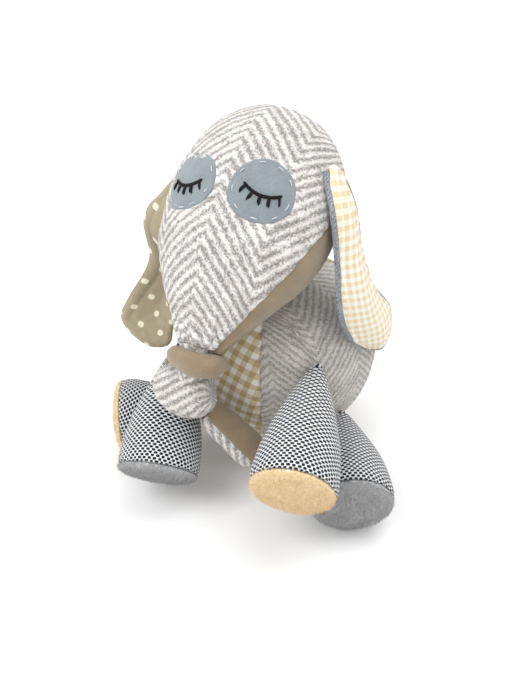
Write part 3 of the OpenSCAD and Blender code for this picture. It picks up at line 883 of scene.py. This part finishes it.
def recalc_normals(obj):
    """Turns every face of a closed mesh outwards."""
    work = bmesh.new()
    work.from_mesh(obj.data)
    bmesh.ops.recalc_face_normals(work, faces=work.faces)
    work.to_mesh(obj.data)
    work.free()


# ---- Ears ----

EAR_LEFT = [[(-2, -7, 1), (0, 0, 0), (0, 6, -3)],
            [(8, -15, -19), (9.5, -5, -19), (8.5, 6, -19)],
            [(12, -16, -45), (14.5, -3, -46), (11.5, 12, -46)],
            [(15, -16, -67), (19, 4, -71), (14.5, 23, -71)],
            [(17, -4, -89), (22, 17, -93), (18, 41, -93)],
            [(19, 11, -101), (22, 26, -109), (19, 45, -108)]]
EAR_RIGHT = [[(0, -7, -8), (-1, 0, 0), (-0.5, 7, 7)],
             [(-4, -7, -22), (-13, -4, -17), (-21, 0, -15)],
             [(-6, -5, -43), (-18, -7, -38), (-32, -5, -32)],
             [(-8, -3, -64), (-18, 2, -62), (-31, -5, -58)],
             [(-15, -7, -90), (-28, -1, -90), (-45, -9, -85)],
              [(-16, -9, -111), (-32, -13, -113), (-54, -11, -103)]]
EAR_ALLOWANCE = 5.5


def ear_sheet(pattern, root, widen, count=72, across=40):
    """Middle sheet of an ear with round corners, a little wider towards its free end."""
    sheet = []
    for i in range(count + 1):
        s = i / count
        top = math.sqrt(max(0, 1 - (1 - min(1, s / 0.14)) ** 2))
        end = math.sqrt(max(0, 1 - max(0, (s - 0.86) / 0.14) ** 2))
        share = (0.35 + 0.65 * top) * (0.5 + 0.5 * end) * (1 + widen * s)
        row = spline_rows(pattern, s)
        sheet.append([root + spline_past(row, 0.5 + (j / across - 0.5) * share)
                      for j in range(across + 1)])
    # The seam allowance runs on into the head's own seam
    sheet.insert(0, [p + EAR_ALLOWANCE * (HEAD_CENTRE - p).normalized() for p in sheet[0]])
    return sheet


def spline_past(row, u):
    """Point on a row's curve, carried straight on beyond its two ends."""
    near = min(max(u, 0), 1)
    spot = spline(row, near)
    if u == near:
        return spot
    inside = spline(row, near - math.copysign(0.05, u))
    return spot + abs(u - near) / 0.05 * (spot - inside)


def spline_rows(pattern, s):
    """Row of three points across an ear, at share s of its drop."""
    return [spline([row[k] for row in pattern], s) for k in range(3)]


def grid_normals(sheet):
    """Direction straight out of the cloth at each point of a grid."""
    n, m = len(sheet), len(sheet[0])
    return [[(sheet[min(i + 1, n - 1)][j] - sheet[max(i - 1, 0)][j]).cross(
        sheet[i][min(j + 1, m - 1)] - sheet[i][max(j - 1, 0)]).normalized()
        for j in range(m)] for i in range(n)]


def ear_layer(name, pattern, root, face, material, body, slot, node, wave, seed):
    """One cloth of an ear, puffed up inside its edges, with a groove a little way in."""
    sheet = ear_sheet(pattern, root, 0.14 if body == "left_ear" else 0.04)
    normals = grid_normals(sheet)
    places = cloth_lengths(sheet)
    n, m = len(sheet) - 1, len(sheet[0]) - 1
    rows = []
    for i in range(n + 1):
        row = []
        for j in range(m + 1):
            p = sheet[i][j]
            width = (sheet[i][m] - sheet[i][0]).length
            edge = min(j / m * width, (1 - j / m) * width, (1 - i / n) * 100)
            puff = 1.6 * (1 - bump(edge, 2.2))
            groove = 0.7 * bump(edge - 6.5, 1.1)
            ripple = wave * (0.5 * lump(p, 15, seed) + 0.3 * math.sin(i * 0.45 + 3 * lump(p, 16, 2))
                             * bump(edge, 5))
            row.append(p + normals[i][j] * (face * max(0.15, puff - groove + 0.2) + ripple))
        rows.append(row)
    obj = cloth_panel(name, rows, places, 0.5, flip=face < 0)
    dress(obj, material, body, slot, node)
    return sheet, normals


def build_ears():
    """Two cloths for each ear; the left has a frayed edge and the right has topstitching."""
    left_root, right_root = JOINTS["left_ear_flap"], JOINTS["right_ear_flap"]
    ear_layer("left_ear_outside", EAR_LEFT, left_root, 1, EAR_CHECK,
              "left_ear", "ear_check", "ear_left_outside", 0.8, 3)
    sheet, _ = ear_layer("left_ear_inside", EAR_LEFT, left_root, -1, BLUE_TWEED,
                         "left_ear", "blue_tweed", "ear_left_inside", 0.8, 3)
    edge_fuzz("left_ear_edge", sheet, BLUE_TWEED, "left_ear", "blue_tweed", 4200, 2.6, 21)
    ear_layer("right_ear_outside", EAR_RIGHT, right_root, 1, EAR_CHECK,
              "right_ear", "ear_check", "ear_right_outside", 1.2, 6)
    sheet, normals = ear_layer("right_ear_inside", EAR_RIGHT, right_root, -1, BACK_COTTON,
                               "right_ear", "back_cotton", "ear_right_inside", 1.2, 6)
    topstitch("right_ear_topstitch", sheet, normals, -1, "right_ear")


def edge_path(sheet, inset):
    """Points round the three free edges of an ear, inset from them by a share of the grid."""
    n, m = len(sheet) - 1, len(sheet[0]) - 1
    path = [(i, inset) for i in range(2, n - inset + 1)]
    path += [(n - inset, j) for j in range(inset + 1, m - inset)]
    path += [(i, m - inset) for i in range(n - inset, 1, -1)]
    return path


def topstitch(name, sheet, normals, face, body):
    """Running stitches a few millimetres in from an ear's free edges."""
    stitches = []
    path = edge_path(sheet, 7)
    for k in range(0, len(path) - 2, 2):
        spots = [path[k], path[k + 1]]
        a, b = (sheet[i][j] + normals[i][j] * face * 1.45 for i, j in spots)
        stitches.append([a, lerp(a, b, 0.3) + normals[path[k][0]][path[k][1]] * face * 0.25,
                         lerp(a, b, 0.7)])
    dress(tube(name, stitches, 0.2, 6), WHITE_THREAD, body, "light_thread")


def edge_fuzz(name, sheet, material, body, slot, count, length, seed):
    """Rolled, frayed edge: a soft welt with fibres all round it."""
    path = [sheet[i][j] for i, j in edge_path(sheet, 0)]
    path = [p + Vector((0.2, 0, 0)) * lump(p, 5, 1) for p in path]
    welt = tube(name, [path], 1.5, 12, 0.8)
    dress(welt, material, body, slot)
    fuzz = fibres(name + "_fuzz", welt, count, length, 0.14, (0, 0, -0.3), seed, 0.8)
    dress(fuzz, material, body, slot)


# ---- Trunk ----

BAND = [((-15.5, 3, -10.5), 3, 3), ((-12, -4, -7.5), 5.2, 4.4), ((-5, -9, -4.8), 6.6, 5.4),
        ((4, -10, -4.8), 6.8, 5.4), ((11, -5, -6.5), 6.4, 4.6), ((12.5, 3, -10), 3.4, 3)]
KNOT = [((-24, -1, -27), 4, 4), ((-22, -1.6, -27), 8.5, 8), ((-15.5, -2.4, -27.5), 13, 12),
        ((-8, -3, -28), 14.3, 13), ((-1, -3, -28), 13.3, 12.5), ((5.5, -2.4, -27.5), 9.5, 9),
        ((8, -2, -27), 4, 4)]
ROLL = [((-15, 10, -16.5), 2.2, 2.2), ((-20, 9, -18.5), 3.2, 3.2), ((-23.5, 7.5, -22), 3.2, 3.4),
        ((-23, 7.5, -28), 3, 3.2), ((-18, 9.5, -32), 2.8, 2.8), ((-12, 10.5, -34.5), 2, 2)]
SEAM_NECK = [((0, 7, 5), 9, 8.5), ((-0.5, 3, 0), 9.3, 9), ((-1.5, -1, -5), 8.8, 8.6),
             ((-3, -2, -12), 8, 8), ((-5, -3, -20), 8, 8)]


def knot_strand(name, stations, material, slot, *nodes, turns=0.0, folds=5, seed=0):
    """Stuffed tube of cloth through the stations, with folds drawn towards its ends."""
    side = Vector((0, 1, 0)) if not nodes else Vector((0, 0, 1))
    count, around = 44, 64
    points = [PINCH + Vector(spline([s[0] for s in stations], i / count)) for i in range(count + 1)]
    wide = [spline([s[1] for s in stations], i / count) for i in range(count + 1)]
    deep = [spline([s[2] for s in stations], i / count) for i in range(count + 1)]
    verts, cloth, travelled = [], [], 0.0
    for i in range(count + 1):
        ahead = (points[min(i + 1, count)] - points[max(i - 1, 0)]).normalized()
        front = ahead.cross(side).normalized()
        across = front.cross(ahead)
        if i:
            travelled += (points[i] - points[i - 1]).length
        for j in range(around):
            a = 2 * math.pi * j / around
            spot = points[i] + wide[i] * math.cos(a) * across - deep[i] * math.sin(a) * front
            pull = 1 - 4 * (i / count) * (1 - i / count)
            fold = (0.25 + 0.6 * pull) * math.sin(folds * a + turns * travelled
                                                  + 2.5 * lump(spot, 9, seed))
            swell = 1 + (0.5 * fold + 0.5 * lump(spot, 8, seed + 3) - 0.4) / max(wide[i], 4)
            verts.append(points[i] + swell * (spot - points[i]))
            cloth.append((a * max(wide) * 0.95, -travelled))
    faces = [f[::-1] for f in grid_faces(count + 1, around, wrap=True)]
    faces.append(tuple(range(around)))
    faces.append(tuple(count * around + k for k in reversed(range(around))))
    obj = new_object(name, verts, faces, cloth)
    if nodes:
        dress(obj, material, "trunk", slot, *nodes)
    else:
        obj.data.materials.append(material)
    return obj


TIP_DIR = Vector((0.605, 0.27, -0.75)).normalized()
TIP_SIDE = Vector((0, 0.943, 0.333)).normalized()
TIP_LENGTH = 37
TIP = [(0, 5.6, 2.6), (0.12, 8, 3.8), (0.5, 9, 4.2), (0.88, 9.4, 4.2), (1, 8.4, 3.2)]


def tip_cloth(name, start, stop, material, slot, node):
    """Part of the loose end's skin between two angles round it; 0 is the middle of the front."""
    root = JOINTS["trunk_end_bend"]
    front = TIP_DIR.cross(TIP_SIDE).normalized()
    count, across = 48, 44
    rows, cloth = [], []
    for i in range(count + 1):
        r = spline([list(s) for s in TIP], i / count)
        end = math.sqrt(max(0, 1 - max(0, (i / count - 0.8) / 0.2) ** 2))
        row = []
        for j in range(across + 1):
            a = math.radians(lerp(start, stop, j / across))
            wide, deep = r[1] * (0.35 + 0.65 * end), 0.5 + r[2] * (0.15 + 0.85 * end)
            p = root + r[0] * TIP_LENGTH * TIP_DIR + wide * math.sin(a) * TIP_SIDE
            seam = bump(min(abs(j), abs(across - j)) * 0.6, 1.0)
            swell = 0.4 * lump(p, 9, 2) + 0.2 * lump(p, 4, 6) - 0.35 * seam
            row.append(p + (deep + swell) * math.cos(a) * front
                       + swell * math.sin(a) * TIP_SIDE)
            cloth.append((wide * a, -r[0] * TIP_LENGTH))
        rows.append(row)
    obj = cloth_panel(name, rows, cloth, 0.8, flip=stop < start)
    dress(obj, material, "trunk_end", slot, node)
    return obj


def build_trunk():
    """Gathered neck of the trunk, its knot and its loose end."""
    neck = knot_strand("trunk_neck", SEAM_NECK, FACE_TWEED, "face_herringbone", folds=7, seed=4)
    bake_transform(neck)
    knot_strand("knot_band", BAND, TAN_FELT, "tan_felt", "trunk_band", folds=3, seed=2)
    ball = knot_strand("knot_ball", KNOT, FACE_TWEED, "face_herringbone", "trunk_knot",
                       turns=0.12, folds=6, seed=5)
    fuzz = fibres("knot_fuzz", ball, 2200, 1.4, 0.09, (0, -0.2, -0.3), 12, 0.5)
    dress(fuzz, FACE_TWEED, "trunk", "face_herringbone")
    knot_strand("knot_roll", ROLL, TAN_FELT, "tan_felt", "trunk_roll", folds=4, seed=8)
    tip_cloth("trunk_end_front", -42, 90, TAN_FELT, "tan_felt", "trunk_tip_lining")
    tweed = tip_cloth("trunk_end_back", -42, -270, FACE_TWEED, "face_herringbone",
                      "trunk_tip_face")
    rim = fibres("trunk_end_fuzz", tweed, 1600, 1.4, 0.1, (0, 0, -0.4), 13, 0.6)
    dress(rim, FACE_TWEED, "trunk_end", "face_herringbone")


# ---- Limbs ----

PAD_RADIUS = 21.0
START_RADIUS = 3.2
TAB_RADIUS = 2.25
PAD_BULGE = 4.0
PAD_RIM = 1.2
TAB_GAP = 0.3


class Limb:
    """Where a limb lies, from its anchor to its pad, and points round its length."""

    around = 120
    start = TAB_RADIUS + TAB_GAP

    def __init__(self, name):
        spec = LIMBS[name]
        self.name = name
        self.body = name + "_cone"
        self.shade = spec["pad"]
        self.seed = sorted(LIMBS).index(name) * 3.1
        self.anchor = ANCHORS[name]
        self.along = heading(spec["turn"], spec["droop"])
        self.side = self.along.cross(Vector((0, 0, 1))).normalized()
        self.up = self.side.cross(self.along).normalized()
        low, high = box_mm(name + "_pad")
        reach = ((low + high) / 2 - self.anchor).dot(self.along)
        self.length = reach - TAB_RADIUS - 2 * TAB_GAP - (PAD_RIM + PAD_BULGE) / 2

    def radius(self, u):
        """Radius of the cone at share u of its length."""
        return START_RADIUS + (PAD_RADIUS - START_RADIUS) * math.sin(math.pi / 2 * u)

    def spot(self, reach, r, a):
        """Point at a reach from the anchor, r off the middle line, turned by a from the top."""
        return (self.anchor + reach * self.along
                + r * (math.cos(a) * self.up + math.sin(a) * self.side))


def sleeve_point(limb, u, a):
    """Point on the stuffed cone: gathered at its start, drawn in at the pad and along its seam."""
    base = limb.spot(limb.start + limb.length * u, limb.radius(u), a)
    to_pad = (1 - u) * limb.length
    gathers = 0.5 * bump(u * limb.length, 7) * math.sin(9 * a + limb.seed)
    puckers = 0.22 * math.sin(26 * a + 3 * lump(base, 10, limb.seed)) * bump(to_pad, 5)
    seam = -0.55 * bump(abs(a - math.pi) * limb.radius(u), 1.1)
    swell = 0.35 * lump(base, 20, limb.seed) + 0.15 * lump(base, 8, limb.seed + 2)
    off = gathers - 0.7 * bump(to_pad, 2.0) + puckers + seam + swell
    return limb.spot(limb.start + limb.length * u,
                     limb.radius(u) + off * min(1, 0.25 + u * 3), a)


def build_sleeve(limb):
    """Cone of spotted cloth; it is cut, and its seam runs, along the underside."""
    count, around = 90, limb.around
    slant = math.hypot(limb.length, PAD_RADIUS - START_RADIUS)
    spread = (PAD_RADIUS * 0.98) / slant
    order = [(j + around // 2) % around for j in range(around)] + [around // 2]
    rows, places = [], []
    for i in range(count + 1):
        rows.append([sleeve_point(limb, i / count, 2 * math.pi * j / around) for j in order])
        far = 6 + slant * i / count
        for k in range(around + 1):
            a = (2 * math.pi * k / around - math.pi) * spread
            places.append((far * math.sin(a), -far * math.cos(a)))
    sleeve = cloth_panel(limb.name + "_cloth", rows, places, 0.9, flip=True)
    dress(sleeve, SPOTTED, limb.body, "spotted_cotton", limb.name + "_sleeve")


def build_gather(limb):
    """Knob of gathered cloth by which the limb is sewn on."""
    rows, around = 20, 28
    verts = []
    for i in range(rows + 1):
        b = math.pi * i / rows
        for j in range(around):
            a = 2 * math.pi * j / around
            r = 2.2 * math.sin(b) * (1 + 0.16 * math.sin(7 * a))
            verts.append(limb.spot(-2.2 * math.cos(b), r, a))
    faces = grid_faces(rows + 1, around, wrap=True)
    tab = new_object(limb.name + "_gather", verts, faces, [(v.x, v.z) for v in verts])
    join_close(tab)
    dress(tab, SPOTTED, limb.name + "_root", "spotted_cotton", limb.name + "_tab")


def pad_point(limb, base, s, a):
    """Point on the plush dome: s is 0 at its sewn rim and 1 at its crown."""
    angle = math.pi / 2 * s
    r = PAD_RADIUS * math.cos(angle) ** 0.9
    dome = PAD_BULGE * math.sin(angle) ** 0.8
    point = limb.spot(base, r, a)
    wave = 0.25 * math.sin(24 * a + 3 * lump(point, 9, limb.seed)) * bump(s, 0.12)
    lumps = 0.45 * lump(point, 10, limb.seed + 1) * (1 - bump(s, 0.15))
    return limb.spot(base + 0.7 + dome + lumps, max(r - 0.2 + wave, 0.01), a)


def build_pad(limb):
    """Plush pad with its pile, and the stitches round its rim."""
    material = CAMEL_PLUSH if limb.shade == "camel" else GREY_PLUSH
    slot = limb.shade + "_plush"
    rings, around = 30, limb.around
    base = limb.start + limb.length + TAB_GAP
    turns = [2 * math.pi * j / around for j in range(around)]
    verts, cloth = [], []
    for i in range(rings + 1):
        r = PAD_RADIUS * math.cos(math.pi / 2 * i / rings) ** 0.9
        for a in turns:
            verts.append(pad_point(limb, base, i / rings, a))
            cloth.append((r * math.cos(a), r * math.sin(a)))
    verts += [limb.spot(base, PAD_RADIUS - 1.2, a) for a in turns]
    cloth += [(PAD_RADIUS * math.cos(a), PAD_RADIUS * math.sin(a)) for a in turns]
    faces = [f[::-1] for f in grid_faces(rings + 1, around, wrap=True)]
    back = (rings + 1) * around
    faces += [(back + j, j, (j + 1) % around, back + (j + 1) % around) for j in range(around)]
    faces.append(tuple(back + j for j in range(around)))
    pad = new_object(limb.name + "_plush", verts, faces, cloth)
    join_close(pad)
    recalc_normals(pad)
    dress(pad, material, limb.body, slot, limb.name + "_pad")
    centre = limb.anchor + base * limb.along
    pile = fibres(limb.name + "_pile", pad, 6500, 1.5, 0.16,
                  tuple(0.35 * limb.along + 0.3 * limb.side), 30 + int(limb.seed), 0.35,
                  keep=lambda p: (p - centre).dot(limb.along) > 0.4)
    dress(pile, material, limb.body, slot)
    rim = [[limb.spot(base - 0.25, PAD_RADIUS - 0.9 + 0.1 * math.sin(9 * a), a)
            for a in [2 * math.pi * (k + u) / 60 for u in (0, 0.25, 0.5)]] for k in range(60)]
    dress(tube(limb.name + "_pad_stitches", rim, 0.25, 6), WHITE_THREAD, limb.body,
          "light_thread")


def build_limb(name):
    """An arm or a leg: its sleeve, its gathered knob and its pad."""
    limb = Limb(name)
    build_sleeve(limb)
    build_gather(limb)
    build_pad(limb)


# ---- Neck, tail and hidden fill ----


def build_neck_stitches():
    """Ladder stitch: short slanting threads round the neck."""
    low, high = box_mm("neck_stitches")
    centre = (low + high) / 2
    radius = (high.x - low.x) / 2 - 0.5
    stitches = []
    for k in range(28):
        a = 2 * math.pi * k / 28
        stitches.append([centre + Vector((radius * math.cos(a + 0.12 * u),
                                          radius * math.sin(a + 0.12 * u),
                                          0.35 * u - 0.1 * abs(u))) for u in (-1, -0.3, 0.3, 1)])
    ring = [centre + Vector((radius * math.cos(a), radius * math.sin(a), 0.15 * math.sin(14 * a)))
            for a in [2 * math.pi * k / 112 for k in range(113)]]
    obj = tube("neck_thread", stitches + [ring], 0.32, 7)
    dress(obj, WHITE_THREAD, "neck", "light_thread", "neck_stitches")


TAIL = [((0, 0, 2), 2.6, 2.6), ((0, 3, -5), 3, 3), ((1, 6, -14), 2.6, 2.6),
        ((2, 8, -22), 2.4, 2.4), ((3, 9, -27), 4, 3), ((3.5, 9.5, -33), 3, 2)]


def build_tail():
    """Crumpled strip of the back cloth, thicker near its end."""
    root = JOINTS["tail_swing"]
    count, around = 60, 28
    verts, cloth, travelled = [], [], 0.0
    last = None
    for i in range(count + 1):
        t = i / count
        p = root + Vector(spline([s[0] for s in TAIL], t))
        wide, deep = spline([s[1] for s in TAIL], t), spline([s[2] for s in TAIL], t)
        ahead = (Vector(spline([s[0] for s in TAIL], t + 0.02))
                 - Vector(spline([s[0] for s in TAIL], t - 0.02)))
        side = Vector((1, 0, 0))
        back = ahead.normalized().cross(side).normalized()
        travelled += (p - last).length if last else 0
        last = p
        for j in range(around):
            a = 2 * math.pi * j / around
            crumple = 1 + 0.1 * lump((j * 0.7, i * 0.5, 0), 3)
            tuft = 0.5 * math.sin(6 * a) * max(0, t - 0.85) * 6
            verts.append(p + (wide * crumple + tuft) * 0.95 * math.cos(a) * side
                         + deep * crumple * 0.95 * math.sin(a) * back)
            cloth.append((a * 2.6, -travelled))
    faces = grid_faces(count + 1, around, wrap=True)
    faces.append(tuple(reversed(range(around))))
    faces.append(tuple(count * around + k for k in range(around)))
    obj = new_object("tail_strip", verts, faces, cloth)
    recalc_normals(obj)
    dress(obj, BACK_COTTON, "tail_strip", "back_cotton", "tail")


def build_hidden_fill():
    """Carried-over solids that stay inside get the look of fibre and of a cotton sack."""
    for node, obj in frame["nodes"].items():
        if node.endswith("_stuffing") or node == "pellet_bag":
            material = SACK if node == "pellet_bag" else FILL
            obj.data.materials.clear()
            obj.data.materials.append(material)


# ---- Stage ----


def build_stage():
    """Pale floor, white surroundings and two soft lamps."""
    reach = 3000
    floor = new_object("floor", [(-reach, -reach, 0), (reach, -reach, 0), (reach, reach, 0),
                                 (-reach, reach, 0)], [(0, 1, 2, 3)])
    floor.location.z = -0.0001
    material = bpy.data.materials.new("pale_floor")
    material.use_nodes = True
    shader = material.node_tree.nodes["Principled BSDF"]
    shader.inputs["Base Color"].default_value = (0.9, 0.9, 0.9, 1)
    shader.inputs["Roughness"].default_value = 0.7
    shader.inputs["Specular IOR Level"].default_value = 0.1
    floor.data.materials.append(material)
    world = bpy.data.worlds.new("studio")
    world.use_nodes = True
    world.node_tree.nodes["Background"].inputs["Color"].default_value = (1, 1, 1, 1)
    world.node_tree.nodes["Background"].inputs["Strength"].default_value = 0.95
    bpy.context.scene.world = world
    view = bpy.context.scene.view_settings
    view.view_transform = "Standard"
    for name, place, power, size in (("key", (-0.35, -0.9, 1.1), 9, 0.7),
                                     ("top", (0.3, 0.2, 1.3), 7, 0.9)):
        light = bpy.data.lights.new(name, "AREA")
        light.energy = power
        light.size = size
        lamp = bpy.data.objects.new(name, light)
        lamp.location = place
        lamp.rotation_mode = "QUATERNION"
        lamp.rotation_quaternion = (Vector((0, 0, 0.09)) - Vector(place)).to_track_quat("-Z", "Y")
        bpy.context.scene.collection.objects.link(lamp)


def build_camera():
    """Camera that looks down on the toy from its left front."""
    azimuth, elevation, distance = math.radians(29), math.radians(33), 0.52
    back = Vector((math.sin(azimuth) * math.cos(elevation),
                   -math.cos(azimuth) * math.cos(elevation), math.sin(elevation)))
    target = Vector((-5.6, -6.0, 54.1)) * MM
    data = bpy.data.cameras.new("camera")
    data.sensor_fit = "VERTICAL"
    data.angle_y = math.radians(42.8)
    camera = bpy.data.objects.new("camera", data)
    camera.location = target + distance * back
    camera.rotation_mode = "QUATERNION"
    camera.rotation_quaternion = (-back).to_track_quat("-Z", "Y")
    bpy.context.scene.collection.objects.link(camera)
    bpy.context.scene.camera = camera


build_camera()
build_stage()
build_torso()
build_seat_disc()
build_leather_tag()
build_head()
build_eye(1, "left")
build_eye(-1, "right")
build_ears()
build_trunk()
for limb in LIMBS:
    build_limb(limb)
build_neck_stitches()
build_tail()
build_hidden_fill()
